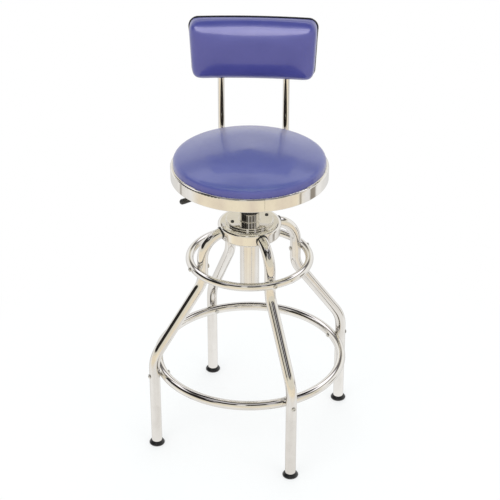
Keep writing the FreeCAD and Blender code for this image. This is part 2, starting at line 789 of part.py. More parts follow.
def gas_cylinder():
    """The cylinder slides on the rod and tapers into the seat's socket."""
    bore = S.cylinder_bore / 2
    outer = S.cylinder_outer / 2
    valve = S.valve_outer / 2
    valve_bottom = S.cylinder_top - S.valve_height
    outline = [
        (bore, S.cylinder_bottom),
        (outer, S.cylinder_bottom, 1),
        (outer, S.taper_bottom),
        (S.taper_outer / 2, S.cylinder_top),
        (valve, S.cylinder_top),
        (valve, valve_bottom),
        (bore, valve_bottom),
    ]
    turned("gas_cylinder", outline)
    gland_top = S.cylinder_bottom + S.gland_height
    gland_outer = S.cylinder_bore - HOLE_GAP
    gland = washer_outline(S.rod_outer + HOLE_GAP, gland_outer, S.cylinder_bottom, gland_top)
    turned("cylinder_gland", gland)
    valve_fit = S.valve_outer - HOLE_GAP
    body = washer_outline(S.pin_outer + HOLE_GAP, valve_fit, valve_bottom, S.cylinder_top)
    turned("valve_body", body)
    pin_top = S.lever_height - S.lever_outer / 2 - HOLE_GAP
    pin = S.pin_outer / 2
    pin_bottom = valve_bottom + 4
    turned("release_pin", [(0, pin_bottom), (pin, pin_bottom), (pin, pin_top, 0.8), (0, pin_top)])


# ---- seat mechanism and lever ------------------------------------------------------------------

def seat_socket():
    """A tapered sleeve that the cylinder's cone wedges into."""
    start = 7  # distance of the sleeve's lower end above the start of the taper
    wall = 4.5
    bottom = S.taper_bottom + start
    shrink = (S.cylinder_outer - S.taper_outer) / 2 / (S.cylinder_top - S.taper_bottom)
    wide = S.cylinder_outer / 2 - start * shrink + FIT_GAP
    narrow = S.taper_outer / 2 + FIT_GAP
    outer = wide + wall
    outline = [(wide, bottom), (outer, bottom, 1.5), (outer, S.cylinder_top), (narrow, S.cylinder_top)]
    turned("seat_socket", outline)


def seat_plate_spots():
    return [(x * S.plate_bolt_x, y * S.plate_bolt_y) for x in (-1, 1) for y in (-1, 1)]


def post_bolt_spots():
    return [(side * S.post_spread, y) for side in (-1, 1) for y in post_bolt_depths()]


def post_bolt_depths():
    return (S.post_bolt_front, S.post_bolt_back)


def seat_plate():
    """A flat steel plate screwed to the board, over the folded lever bracket."""
    body = new_body("seat_plate")
    sketch = new_sketch(body, "XY_Plane", shift=(0, 0, S.board_bottom - S.sheet_metal))
    half_width = S.plate_width / 2
    half_depth = S.plate_depth / 2
    corner = 10
    outline = [
        (-half_width, -half_depth, corner),
        (half_width, -half_depth, corner),
        (half_width, half_depth, corner),
        (-half_width, half_depth, corner),
    ]
    draw_lines(sketch, outline, closed=True)
    pad(body, sketch, S.sheet_metal)
    drill(body, "XY_Plane", seat_plate_spots())
    head_top = S.board_bottom - S.sheet_metal
    stacks("seat_plate_bolts", "XY_Plane", seat_plate_spots(), bolt_layers(head_top))


def bolt_layers(head_top):
    """Head and shank of a bolt driven upwards into the seat board."""
    tip_gap = 1.5
    shank_end = S.board_bottom + S.board_thickness - tip_gap
    return [
        (S.bolt_head, head_top - S.bolt_head_height, head_top),
        (S.bolt_shank, head_top, shank_end),
    ]


def lever_bracket():
    """A folded channel under the seat plate that carries the lever's pivot."""
    body = new_body("lever_bracket")
    half = S.bracket_width / 2
    top = S.board_bottom - S.sheet_metal
    inner_half = half - S.sheet_metal
    floor = S.bracket_bottom + S.sheet_metal
    sketch = new_sketch(body, "YZ_Plane", shift=(0, 0, -S.bracket_back))
    outline = [
        (-half, top),
        (-half, S.bracket_bottom, 4),
        (half, S.bracket_bottom, 4),
        (half, top),
        (inner_half, top),
        (inner_half, floor, 1.5),
        (-inner_half, floor, 1.5),
        (-inner_half, top),
    ]
    draw_lines(sketch, outline, closed=True)
    pad(body, sketch, S.bracket_length)
    drill(body, "XY_Plane", [(0, 0)], S.valve_outer)
    drill(body, "XZ_Plane", [(S.lever_pivot, S.lever_height)], S.pivot_outer + HOLE_GAP)
    place(body, turn=S.lever_turn)

    pin = new_body("lever_pivot_pin")
    sketch = new_sketch(pin, "XZ_Plane")
    draw_circle(sketch, (S.lever_pivot, S.lever_height), S.pivot_outer)
    rivet_ends = 4
    pad(pin, sketch, S.bracket_width + rivet_ends, both_ways=True)
    place(pin, turn=S.lever_turn)


def lever():
    """The rod with its pivot eye, and the knob on its outer end."""
    body = new_body("lever_rod")
    radius = S.lever_outer / 2
    knob_cap = 8
    end = S.knob_tip - knob_cap
    sketch = new_sketch(body, "XZ_Plane", shift=(0, S.lever_height, 0))
    outline = [(0, 0), (0, radius, 1), (end, radius), (end, 0)]
    draw_lines(sketch, outline, closed=True)
    revolve(body, sketch, "H_Axis")
    eye = new_sketch(body, "XZ_Plane")
    draw_circle(eye, (S.lever_pivot, S.lever_height), S.eye_outer)
    pad(body, eye, S.eye_width, both_ways=True)
    drill(body, "XZ_Plane", [(S.lever_pivot, S.lever_height)], S.pivot_outer + HOLE_GAP)
    place(body, turn=S.lever_turn)

    knob = new_body("lever_knob")
    bore = radius + FIT_GAP
    widest = S.knob_outer / 2
    thin_edge = 0.9
    start = S.knob_tip - S.knob_length
    grip = S.knob_tip - S.knob_outer
    sketch = new_sketch(knob, "XZ_Plane", shift=(0, S.lever_height, 0))
    outline = [
        (start, bore),
        (start, bore + thin_edge),
        (grip, widest, 30),
        (S.knob_tip, widest, 6),
        (S.knob_tip, 0),
        (end + FIT_GAP, 0),
        (end + FIT_GAP, bore),
    ]
    draw_lines(sketch, outline, closed=True)
    revolve(knob, sketch, "H_Axis")
    place(knob, turn=S.lever_turn)


# ---- seat --------------------------------------------------------------------------------------

def seat_board():
    """A plywood disc with a recess over every bolt for a tee nut."""
    top = S.board_bottom + S.board_thickness
    radius = inside_band()
    body = turned("seat_board", [(0, S.board_bottom), (radius, S.board_bottom), (radius, top), (0, top)])
    spots = seat_plate_spots() + post_bolt_spots()
    drill(body, "XY_Plane", spots, S.tee_outer + HOLE_GAP)
    recess = new_sketch(body, "XY_Plane", shift=(0, 0, top))
    for spot in spots:
        draw_circle(recess, spot, S.tee_flange + HOLE_GAP)
    cut_down(body, recess, S.tee_metal + HOLE_GAP)
    barrel_start = 3
    under_flange = top - S.tee_metal
    layers = [
        (S.tee_outer, S.board_bottom + barrel_start, under_flange),
        (S.tee_flange, under_flange, top),
    ]
    stacks("seat_tee_nuts", "XY_Plane", spots, layers, S.bolt_shank + HOLE_GAP)


def inside_band():
    """Radius of board and cushion, which fit loosely in the band."""
    return S.seat_outer / 2 - S.band_metal - 1


def seat_band():
    """A steel strip bent round board and cushion to a seam, its lip rolled in over the cushion."""
    outer = S.seat_outer / 2
    inner = outer - S.band_metal
    lip = outer - S.band_lip
    flange = outer - S.band_flange
    outline = [
        (flange, S.band_bottom),
        (outer, S.band_bottom, 2),
        (outer, S.band_top, 4),
        (lip, S.band_top, 0.7),
        (lip, S.band_top - S.band_metal, 0.7),
        (inner, S.band_top - S.band_metal, 2.5),
        (inner, S.band_bottom + S.band_metal),
        (flange, S.band_bottom + S.band_metal),
    ]
    band = turned("seat_band", outline, angle=360 - S.band_seam)
    place(band, turn=S.band_seam_turn)


def seat_cushion():
    """A plain crowned disc, as wide as the band below its lip."""
    bottom = S.board_bottom + S.board_thickness + FIT_GAP
    lip_gap = 0.5
    crown_bend = 300
    wide = inside_band()
    narrow = S.seat_outer / 2 - S.band_lip - lip_gap
    ledge = S.band_top - 5
    outline = [
        (0, bottom),
        (wide, bottom),
        (wide, ledge),
        (narrow, ledge),
        (narrow, S.seat_edge, S.seat_edge_rounding),
        (narrow - S.seat_slope, S.seat_slope_top, crown_bend),
        (0, S.seat_top),
    ]
    turned("seat_cushion", outline)


# ---- backrest ----------------------------------------------------------------------------------

def backrest_post(side, name):
    """A tube bolted flat under the seat that bends up behind it."""
    path = [
        (S.post_run_start, S.post_run_height),
        (S.post_depth, S.post_run_height, S.post_bend),
        (S.post_depth, S.post_top),
    ]
    body = bent_tube(f"backrest_post_{name}", path, S.post_outer, S.post_bore)
    drill(body, "XY_Plane", [(depth, 0) for depth in post_bolt_depths()])
    drill(body, "YZ_Plane", [(0, z) for z in pad_bolt_heights()])
    place(body, x=side * S.post_spread, turn=90)


def post_fittings():
    """Bolts, spacers and end plugs of the posts."""
    plug_depth = 10
    plug_cap = 2
    tube_bottom = S.post_run_height - S.post_outer / 2
    tube_top = S.post_run_height + S.post_outer / 2
    stacks("post_bolts", "XY_Plane", post_bolt_spots(), bolt_layers(tube_bottom))
    spacer = [(S.post_outer, tube_top, S.board_bottom)]
    stacks("post_spacers", "XY_Plane", post_bolt_spots(), spacer, S.bolt_hole)
    tops = [(side * S.post_spread, S.post_depth) for side in (-1, 1)]
    plug = [
        (S.post_bore - HOLE_GAP, S.post_top - plug_depth, S.post_top),
        (S.post_outer, S.post_top, S.post_top + plug_cap),
    ]
    stacks("post_plugs", "XY_Plane", tops, plug)


def pad_bolt_heights():
    return (S.pad_bottom + S.pad_bolt_inset, S.pad_top - S.pad_bolt_inset)


def right_through():
    """A thickness that reaches through the backrest from the plane of the column axis."""
    return 2 * S.post_depth + 100


def bowed_panel(label, back, thickness, inset):
    """A rounded trapezoid cut from a shell bowed about an upright axis in front of the sitter."""
    prism = doc.addObject("PartDesign::Body", f"{label}_prism")
    sketch = new_sketch(prism, "XZ_Plane")
    top = S.pad_top - inset
    bottom = S.pad_bottom + inset
    half_top = S.pad_top_width / 2 - inset
    half_bottom = S.pad_bottom_width / 2 - inset
    corner = S.pad_corner - inset
    outline = [
        (-half_bottom, bottom, corner),
        (half_bottom, bottom, corner),
        (half_top, top, corner),
        (-half_top, top, corner),
    ]
    draw_lines(sketch, outline, closed=True)
    pad(prism, sketch, right_through(), both_ways=True)

    shell = []
    for name, radius in (("outside", S.pad_bow - back), ("inside", S.pad_bow - back - thickness)):
        cylinder = doc.addObject("Part::Cylinder", f"{label}_{name}")
        bind(cylinder, "Radius", radius)
        bind(cylinder, "Height", S.pad_top)
        bind(cylinder, "Placement.Base.y", S.pad_back - S.pad_bow)
        shell.append(cylinder)
    bowed = doc.addObject("Part::Cut", f"{label}_shell")
    bowed.Base, bowed.Tool = shell
    panel = doc.addObject("Part::Common", label)
    panel.Base = bowed
    panel.Tool = prism
    return panel


def backrest():
    """Rear cover, board and cushion, one in front of the other."""
    cover = bowed_panel("backrest_cover", as_dim(0), S.cover_thickness, 0)
    board_back = S.cover_thickness + FIT_GAP
    board = bowed_panel("backrest_board", board_back, S.back_board_thickness, S.back_board_inset)
    cushion_back = board_back + S.back_board_thickness + FIT_GAP
    cushion = bowed_panel("backrest_cushion", cushion_back, S.pad_thickness, S.pad_inset)
    pieces.append(cushion)
    drill_panel(cover, "backrest_rear_cover", S.bolt_hole)
    drill_panel(board, "backrest_panel", S.tee_outer + HOLE_GAP)


def drill_panel(panel, label, diameter):
    """Cut the four bolt holes of the backrest from a panel."""
    holes = doc.addObject("PartDesign::Body", f"{label}_holes")
    sketch = new_sketch(holes, "XZ_Plane")
    for spot in pad_bolt_spots():
        draw_circle(sketch, spot, diameter)
    pad(holes, sketch, right_through(), both_ways=True)
    drilled = doc.addObject("Part::Cut", label)
    drilled.Base = panel
    drilled.Tool = holes
    pieces.append(drilled)


def pad_bolt_spots():
    return [(side * S.post_spread, z) for side in (-1, 1) for z in pad_bolt_heights()]


def backrest_fasteners():
    """Bolts through the posts from behind, into threaded inserts in the backrest panel."""
    insert_start = 4
    insert_length = 4
    head_seat = -(S.post_depth + S.post_outer / 2)
    insert_back = insert_start - (S.pad_back - S.cover_thickness)
    insert_front = insert_back + insert_length
    bolt = [
        (S.bolt_head, head_seat - S.bolt_head_height, head_seat),
        (S.bolt_shank, head_seat, insert_front),
    ]
    stacks("backrest_bolts", "XZ_Plane", pad_bolt_spots(), bolt)
    insert = [(S.tee_outer, insert_back, insert_front)]
    stacks("backrest_insert_nuts", "XZ_Plane", pad_bolt_spots(), insert, S.bolt_shank + HOLE_GAP)


# ---- the whole stool ---------------------------------------------------------------------------

def build():
    for index in range(LEG_COUNT):
        leg(index)
        foot(index)
    footrest()
    upper_ring()
    hub_cup()
    hub_lid()
    hub_fasteners()
    leg_grommets()
    column_tube()
    column_fittings()
    thrust_bearing()
    piston_rod()
    gas_cylinder()
    seat_socket()
    seat_plate()
    lever_bracket()
    lever()
    seat_board()
    seat_band()
    seat_cushion()
    backrest_post(-1, "left")
    backrest_post(1, "right")
    post_fittings()
    backrest()
    backrest_fasteners()
    doc.recompute()


def check():
    for thing in doc.Objects:
        if {"Invalid", "Error"} & set(thing.State):
            raise RuntimeError(f"{thing.Label} did not compute: {thing.State}")
    for piece in pieces:
        shape = piece.Shape
        if shape.isNull() or not shape.isValid() or not shape.Solids:
            raise RuntimeError(f"{piece.Label} has no valid solid")


def export():
    os.makedirs("parts", exist_ok=True)
    for piece in pieces:
        piece.Shape.exportStep(f"parts/{piece.Label}.step")


build()
check()
export()
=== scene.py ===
"""Looks of the tall swivel stool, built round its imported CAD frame.

The hard parts are the CAD nodes themselves, given procedural materials.  The seat cushion and the
backrest's padding are modelled here, blown up by cloth simulation, and stand for the plain CAD
solids.  The piped seam round the backrest is modelled here too.  Metres; +Z up; the sitter
faces -Y.
"""

import json
import math

import bmesh
import bpy
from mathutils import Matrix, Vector


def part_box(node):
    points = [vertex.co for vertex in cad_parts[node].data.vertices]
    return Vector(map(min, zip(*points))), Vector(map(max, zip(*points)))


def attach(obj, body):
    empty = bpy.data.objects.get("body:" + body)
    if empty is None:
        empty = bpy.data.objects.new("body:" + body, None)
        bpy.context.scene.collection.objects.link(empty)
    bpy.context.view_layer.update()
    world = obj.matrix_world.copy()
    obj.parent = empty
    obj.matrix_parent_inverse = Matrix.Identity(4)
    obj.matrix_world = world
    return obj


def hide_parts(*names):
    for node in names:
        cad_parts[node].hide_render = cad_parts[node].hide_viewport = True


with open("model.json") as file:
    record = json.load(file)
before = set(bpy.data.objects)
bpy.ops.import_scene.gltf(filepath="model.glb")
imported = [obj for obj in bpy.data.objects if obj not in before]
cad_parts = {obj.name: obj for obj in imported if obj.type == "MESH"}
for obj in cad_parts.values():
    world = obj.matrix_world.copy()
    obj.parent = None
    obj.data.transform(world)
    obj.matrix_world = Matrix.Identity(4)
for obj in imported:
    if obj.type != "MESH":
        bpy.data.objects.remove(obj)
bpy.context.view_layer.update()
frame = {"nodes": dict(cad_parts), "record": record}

MM = 0.001
WHITE = (1.0, 1.0, 1.0)
BLACK = (0.0, 0.0, 0.0)
CREAM = (0.76, 0.72, 0.61)
LILAC = (0.62, 0.60, 0.62)
DARK = (0.022, 0.020, 0.018)


# ---- shader building -----------------------------------------------------------------------------

class Shader:
    """A node material whose textures follow the object's own coordinates."""

    def __init__(self, name):
        self.material = bpy.data.materials.new(name)
        self.material.use_nodes = True
        self.tree = self.material.node_tree
        self.surface = self.tree.nodes["Principled BSDF"]
        self.place = self.add("TexCoord").outputs["Object"]

    def add(self, kind, **settings):
        """A new node of a kind, with some of its settings made."""
        node = self.tree.nodes.new(f"ShaderNode{kind}")
        for name, value in settings.items():
            setattr(node, name, value)
        return node

    def feed(self, value, socket):
        """Put a number, a colour or another node's output into a socket."""
        if isinstance(value, bpy.types.NodeSocket):
            self.tree.links.new(value, socket)
        elif socket.type == "RGBA":
            socket.default_value = (*value, 1)
        else:
            socket.default_value = value

    def set(self, **values):
        """Set inputs of the principled surface, as in base_color=..., coat_weight=..."""
        for name, value in values.items():
            title = name.replace("_", " ").title().replace("Ior", "IOR")
            self.feed(value, self.surface.inputs[title])

    def product(self, first, second):
        """Two vectors or colours multiplied part by part."""
        node = self.add("VectorMath", operation="MULTIPLY")
        self.feed(first, node.inputs[0])
        self.feed(second, node.inputs[1])
        return node.outputs["Vector"]

    def noise(self, scale, detail=3.0, roughness=0.5, distortion=0.0, place=None):
        """Cloudy noise from 0 to 1, with about scale clouds to the metre."""
        node = self.add("TexNoise")
        self.feed(place or self.place, node.inputs["Vector"])
        self.feed(scale, node.inputs["Scale"])
        self.feed(detail, node.inputs["Detail"])
        self.feed(roughness, node.inputs["Roughness"])
        self.feed(distortion, node.inputs["Distortion"])
        return node.outputs["Fac"]

    def cells(self, scale, feature="DISTANCE_TO_EDGE"):
        """Distances in a pattern of cells, with about scale cells to the metre."""
        node = self.add("TexVoronoi", feature=feature)
        self.feed(self.place, node.inputs["Vector"])
        self.feed(scale, node.inputs["Scale"])
        return node.outputs["Distance"]

    def ramp(self, source, *stops):
        """A colour ramp through stops of (position, colour)."""
        node = self.add("ValToRGB")
        self.feed(source, node.inputs["Fac"])
        elements = node.color_ramp.elements
        while len(elements) < len(stops):
            elements.new(0.5)
        for element, (position, colour) in zip(elements, stops):
            element.position = position
            element.color = (*colour, 1)
        return node.outputs["Color"]

    def spread(self, source, low, high, start=0.0, end=1.0):
        """Map a texture's start..end onto low..high, and stay within them."""
        node = self.add("MapRange")
        for socket, value in zip(node.inputs, (source, start, end, low, high)):
            self.feed(value, socket)
        return node.outputs["Result"]

    def math(self, operation, first, second=0.0):
        """One sum on one or two numbers."""
        node = self.add("Math", operation=operation)
        self.feed(first, node.inputs[0])
        self.feed(second, node.inputs[1])
        return node.outputs["Value"]

    def mix(self, factor, first, second):
        """A colour between the first (at 0) and the second (at 1)."""
        node = self.add("Mix", data_type="RGBA")
        sockets = [socket for socket in node.inputs if socket.enabled]
        for socket, value in zip(sockets, (factor, first, second)):
            self.feed(value, socket)
        return next(socket for socket in node.outputs if socket.enabled)

    def around(self, *stops):
        """A ramp over the direction in plan, from stops of (degrees from -Y towards +X, colour)."""
        turned = self.add("Mapping")
        self.feed(self.place, turned.inputs["Vector"])
        self.feed((0, 0, math.pi / 2), turned.inputs["Rotation"])
        gradient = self.add("TexGradient", gradient_type="RADIAL")
        self.feed(turned.outputs["Vector"], gradient.inputs["Vector"])
        shares = [(0.5 + angle / 360, colour) for angle, colour in stops]
        return self.ramp(gradient.outputs["Fac"], *shares)

    def part(self, vector, axis):
        """One coordinate of a vector."""
        node = self.add("SeparateXYZ")
        self.feed(vector, node.inputs["Vector"])
        return node.outputs[axis]

    def bump(self, height, strength, depth):
        """Add a height texture to whatever bump the surface already has."""
        node = self.add("Bump")
        self.feed(strength, node.inputs["Strength"])
        self.feed(depth, node.inputs["Distance"])
        self.feed(height, node.inputs["Height"])
        normal = self.surface.inputs["Normal"]
        if normal.is_linked:
            self.feed(normal.links[0].from_socket, node.inputs["Normal"])
        self.feed(node.outputs["Normal"], normal)

    def edges(self, width):
        """1 on sharp edges, 0 elsewhere, for wear and polish."""
        rounded = self.add("Bevel", samples=4)
        self.feed(width, rounded.inputs["Radius"])
        agreement = self.add("VectorMath", operation="DOT_PRODUCT")
        self.feed(rounded.outputs["Normal"], agreement.inputs[0])
        self.feed(self.add("NewGeometry").outputs["Normal"], agreement.inputs[1])
        sharp, smooth = 0.75, 0.98
        return self.spread(agreement.outputs["Value"], 1.0, 0.0, start=sharp, end=smooth)

    def rim(self, start, end):
        """0 where the surface faces the viewer, rising to 1 where it turns away."""
        facing = self.add("LayerWeight")
        return self.spread(facing.outputs["Facing"], 0.0, 1.0, start=start, end=end)


# ---- materials -----------------------------------------------------------------------------------

def chrome():
    """Bright plating with a faint wave, polishing haze, a few smudges, and grey painted on the rims as
    shade where the surface turns away.
    """
    shader = Shader("chrome_plate")
    haze = shader.noise(900, detail=2)
    smudge = shader.noise(22, detail=5, roughness=0.65, distortion=0.6)
    wave = shader.noise(45, detail=1)
    dull = shader.spread(smudge, 0.03, 0.12, start=0.45, end=0.75)
    roughness = shader.math("ADD", dull, shader.spread(haze, 0.0, 0.02))
    tint = shader.ramp(smudge, (0.35, (0.90, 0.885, 0.86)), (0.75, (0.82, 0.80, 0.77)))
    # Painted shade: the base colour turns grey towards the rims, where the surface turns from the
    # viewer.
    grey = (0.40, 0.39, 0.38)
    base = shader.mix(shader.rim(0.60, 0.97), tint, grey)
    shader.set(base_color=base, metallic=1.0, roughness=roughness)
    shader.bump(wave, strength=0.06, depth=0.4 * MM)
    return shader.material


def zinc_steel():
    """Zinc plate: duller than chrome, mottled, with bright worn edges."""
    shader = Shader("zinc_plate")
    spangle = shader.cells(420, feature="F1")
    grime = shader.noise(120, detail=4)
    mottled = shader.ramp(grime, (0.3, (0.66, 0.65, 0.62)), (0.7, (0.80, 0.79, 0.76)))
    polished = (0.88, 0.87, 0.85)
    base = shader.mix(shader.edges(0.5 * MM), mottled, polished)
    shader.set(base_color=base, metallic=1.0, roughness=shader.spread(spangle, 0.22, 0.38))
    shader.bump(grime, strength=0.15, depth=0.1 * MM)
    return shader.material


def black_steel():
    """Black powder coat with a fine orange peel and greyer edges."""
    shader = Shader("black_powder_coat")
    peel = shader.noise(650, detail=2)
    dust = shader.noise(35, detail=5)
    black, grey, dusty = (0.018, 0.018, 0.019), (0.09, 0.09, 0.09), (0.06, 0.058, 0.055)
    worn = shader.mix(shader.edges(0.6 * MM), black, grey)
    base = shader.mix(shader.spread(dust, 0.0, 0.35, start=0.5, end=0.8), worn, dusty)
    shader.set(base_color=base, roughness=shader.spread(peel, 0.30, 0.48))
    shader.bump(peel, strength=0.35, depth=0.08 * MM)
    return shader.material


def rubber():
    """Moulded rubber: glossy black with a fine grain and pale dust low down."""
    shader = Shader("foot_rubber")
    grain = shader.noise(1400, detail=3, roughness=0.6)
    dust = shader.noise(60, detail=6, roughness=0.7)
    mould_wave = shader.noise(160, detail=2)
    dust_height = 6 * MM
    low = shader.spread(shader.part(shader.place, "Z"), 0.5, 0.05, start=0.0, end=dust_height)
    dusty = shader.math("MULTIPLY", low, shader.spread(dust, 0.0, 1.0, start=0.4, end=0.7))
    black, pale_dust = (0.010, 0.010, 0.011), (0.11, 0.105, 0.10)
    base = shader.mix(dusty, black, pale_dust)
    shader.set(base_color=base, roughness=shader.spread(grain, 0.22, 0.36), specular_ior_level=0.6)
    shader.bump(grain, strength=0.3, depth=0.08 * MM)
    shader.bump(mould_wave, strength=0.2, depth=0.25 * MM)
    return shader.material


def black_plastic():
    """Moulded plastic with a light spark-eroded grain and soft shine."""
    shader = Shader("black_moulded_plastic")
    grain = shader.noise(1100, detail=2)
    rub = shader.noise(50, detail=4)
    base = shader.ramp(rub, (0.3, (0.016, 0.016, 0.017)), (0.8, (0.035, 0.034, 0.033)))
    shader.set(base_color=base, roughness=shader.spread(rub, 0.26, 0.42), specular_ior_level=0.5)
    shader.bump(grain, strength=0.25, depth=0.06 * MM)
    return shader.material


def brass():
    """Turned brass with rings left by the tool."""
    shader = Shader("turned_brass")
    along_axis = shader.product(shader.place, (0.05, 0.05, 1.0))
    rings = shader.noise(900, detail=2, place=along_axis)
    tarnish = shader.noise(90, detail=4)
    base = shader.ramp(tarnish, (0.3, (0.62, 0.44, 0.18)), (0.7, (0.78, 0.60, 0.30)))
    shader.set(base_color=base, metallic=1.0, roughness=shader.spread(rings, 0.16, 0.34))
    shader.bump(rings, strength=0.2, depth=0.05 * MM)
    return shader.material


def plywood(name, dark, middle, light, glue_colour):
    """Plywood: long grain on the faces, layers and glue lines on the edges."""
    shader = Shader(name)
    along_grain = shader.product(shader.place, (0.18, 2.2, 2.2))
    grain = shader.noise(60, detail=6, roughness=0.65, distortion=1.2, place=along_grain)
    face = shader.ramp(grain, (0.25, dark), (0.5, middle), (0.8, light))
    board_tone = shader.noise(7, detail=3)
    toned = shader.mix(shader.spread(board_tone, 0.0, 0.35, start=0.3, end=0.7), face, dark)
    layer, glue_share, glue_strength, steep = 3 * MM, 0.16, 0.55, 0.5
    layers = shader.math("MULTIPLY", shader.part(shader.place, "Z"), 1 / layer)
    glue = shader.math("LESS_THAN", shader.math("FRACT", layers), glue_share)
    upward = shader.math("ABSOLUTE", shader.part(shader.add("NewGeometry").outputs["Normal"], "Z"))
    glue_on_edge = shader.math("MULTIPLY", glue, shader.math("LESS_THAN", upward, steep))
    base = shader.mix(shader.math("MULTIPLY", glue_on_edge, glue_strength), toned, glue_colour)
    shader.set(base_color=base, roughness=shader.spread(grain, 0.55, 0.78))
    shader.bump(grain, strength=0.3, depth=0.15 * MM)
    return shader.material


def vinyl(name, deep, pale, gloss, grain_depth):
    """Upholstery vinyl: pebbled skin, glossy coat, faint mottling and scuffs."""
    shader = Shader(name)
    pebble = shader.cells(1500)
    mottle = shader.noise(14, detail=4, roughness=0.6)
    scuff = shader.noise(75, detail=6, roughness=0.7, distortion=0.8)
    pores = shader.noise(2600, detail=2)
    creases = shader.noise(30, detail=2)
    shader.set(
        base_color=shader.ramp(mottle, (0.3, deep), (0.72, pale)),
        roughness=shader.spread(scuff, gloss, gloss + 0.10, start=0.35, end=0.75),
        specular_ior_level=0.5,
        coat_weight=0.75,
        coat_roughness=shader.spread(scuff, 0.10, 0.18, start=0.35, end=0.75),
        sheen_weight=0.05,
    )
    shader.bump(shader.spread(pebble, 0.0, 1.0, start=0.0, end=0.12), strength=0.5, depth=grain_depth)
    shader.bump(pores, strength=0.25, depth=0.5 * grain_depth)
    shader.bump(creases, strength=0.10, depth=0.5 * MM)
    return shader.material


MATERIALS = {
    "chrome": chrome(),
    "rubber": rubber(),
    "black_plastic": black_plastic(),
    "zinc_steel": zinc_steel(),
    "black_steel": black_steel(),
    "brass": brass(),
    "plywood": plywood(
        "birch_plywood",
        dark=(0.42, 0.27, 0.14),
        middle=(0.60, 0.43, 0.25),
        light=(0.70, 0.54, 0.34),
        glue_colour=(0.16, 0.09, 0.05),
    ),
    "pale_plywood": plywood(
        "poplar_plywood",
        dark=(0.70, 0.60, 0.44),
        middle=(0.80, 0.72, 0.57),
        light=(0.86, 0.79, 0.65),
        glue_colour=(0.42, 0.30, 0.18),
    ),
    "blue_vinyl": vinyl(
        "blue_vinyl",
        deep=(0.055, 0.056, 0.262),
        pale=(0.069, 0.069, 0.290),
        gloss=0.30,
        grain_depth=0.05 * MM,
    ),
    "black_vinyl": vinyl(
        "black_vinyl",
        deep=(0.010, 0.010, 0.011),
        pale=(0.020, 0.019, 0.019),
        gloss=0.36,
        grain_depth=0.16 * MM,
    ),
}


def dress_cad_nodes():
    """Give every CAD node the procedural material of its slot in the record."""
    for entry in frame["record"]["subparts"]:
        node = frame["nodes"][entry["node"]]
        for slot in node.material_slots:
            slot.material = MATERIALS[entry["material_slot"]]


# ---- mesh work -----------------------------------------------------------------------------------

def smoothstep(start, end, value):
    """0 up to start, 1 from end on, and a smooth rise between them."""
    share = min(max((value - start) / (end - start), 0), 1)
    return share * share * (3 - 2 * share)


def new_piece(name, mesh, body, slot):
    """A smooth-shaded piece that rides on a body and wears a slot's material."""
    piece = bpy.data.objects.new(name, mesh)
    bpy.context.scene.collection.objects.link(piece)
    mesh.materials.clear()
    mesh.materials.append(MATERIALS[slot])
    mesh.polygons.foreach_set("use_smooth", [True] * len(mesh.polygons))
    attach(piece, body)
    return piece


def scratch_object(name, mesh):
    """An object that is only worked on, and removed again."""
    thing = bpy.data.objects.new(name, mesh)
    bpy.context.scene.collection.objects.link(thing)
    return thing


def finished_mesh(thing):
    """The mesh that an object's modifiers, or its curve, come out as."""
    graph = bpy.context.evaluated_depsgraph_get()
    return bpy.data.meshes.new_from_object(thing.evaluated_get(graph))


def apply_modifiers(thing):
    """Replace an object's mesh with what its modifiers make of it."""
    mesh = finished_mesh(thing)
    thing.modifiers.clear()
    thing.data = mesh


def even_out(thing, voxel):
    """Rebuild an object's mesh with even faces."""
    remesh = thing.modifiers.new("even", "REMESH")
    remesh.mode = "VOXEL"
    remesh.voxel_size = voxel
    apply_modifiers(thing)


def relax(mesh, rounds, free):
    """Smooth a mesh, each vertex by its share of freedom, in steps of half the way."""
    form = bmesh.new()
    form.from_mesh(mesh)
    near = [[edge.other_vert(vertex).index for edge in vertex.link_edges] for vertex in form.verts]
    form.free()
    spots = [vertex.co.copy() for vertex in mesh.vertices]
    for _ in range(rounds):
        means = [sum((spots[other] for other in others), Vector()) / len(others) for others in near]
        spots = [spot.lerp(mean, 0.5 * share) for spot, mean, share in zip(spots, means, free)]
    for vertex, spot in zip(mesh.vertices, spots):
        vertex.co = spot


def inflate(thing, held, cap):
    """Blow a closed mesh up with the cloth solver, moving no vertex further than cap."""
    last_frame = 20
    stretch_stiffness = 40
    bend_stiffness = 30
    rest = [vertex.co.copy() for vertex in thing.data.vertices]
    group = thing.vertex_groups.new(name="held")
    for vertex in thing.data.vertices:
        group.add([vertex.index], held(vertex.co), "REPLACE")
    cloth = thing.modifiers.new("inflate", "CLOTH")
    settings = cloth.settings
    settings.quality = 6
    settings.mass = 0.3
    settings.tension_stiffness = stretch_stiffness
    settings.compression_stiffness = stretch_stiffness
    settings.shear_stiffness = bend_stiffness
    settings.bending_stiffness = bend_stiffness
    settings.use_pressure = True
    settings.uniform_pressure_force = 3.0
    settings.vertex_group_mass = "held"
    settings.effector_weights.gravity = 0
    cloth.collision_settings.use_collision = False
    cloth.point_cache.frame_start = 1
    cloth.point_cache.frame_end = last_frame
    scene = bpy.context.scene
    for number in range(1, last_frame + 1):
        scene.frame_set(number)
    apply_modifiers(thing)
    scene.frame_set(1)
    for vertex, start in zip(thing.data.vertices, rest):
        move = vertex.co - start
        if move.length > cap:
            vertex.co = start + move * (cap / move.length)


def finish_cushion(form, name, held, cap):
    """Inflate a form where it isn't held, smooth it and make it a vinyl piece of the seat."""
    rounds_before, rounds_after = 3, 14
    free = [1 - held(vertex.co) for vertex in form.data.vertices]
    relax(form.data, rounds_before, free)
    inflate(form, held, cap)
    relax(form.data, rounds_after, free)
    form.modifiers.new("fine", "SUBSURF").levels = 1
    apply_modifiers(form)
    piece = new_piece(name, form.data, "seat", "blue_vinyl")
    bpy.data.objects.remove(form)
    return piece


# ---- seat ----------------------------------------------------------------------------------------

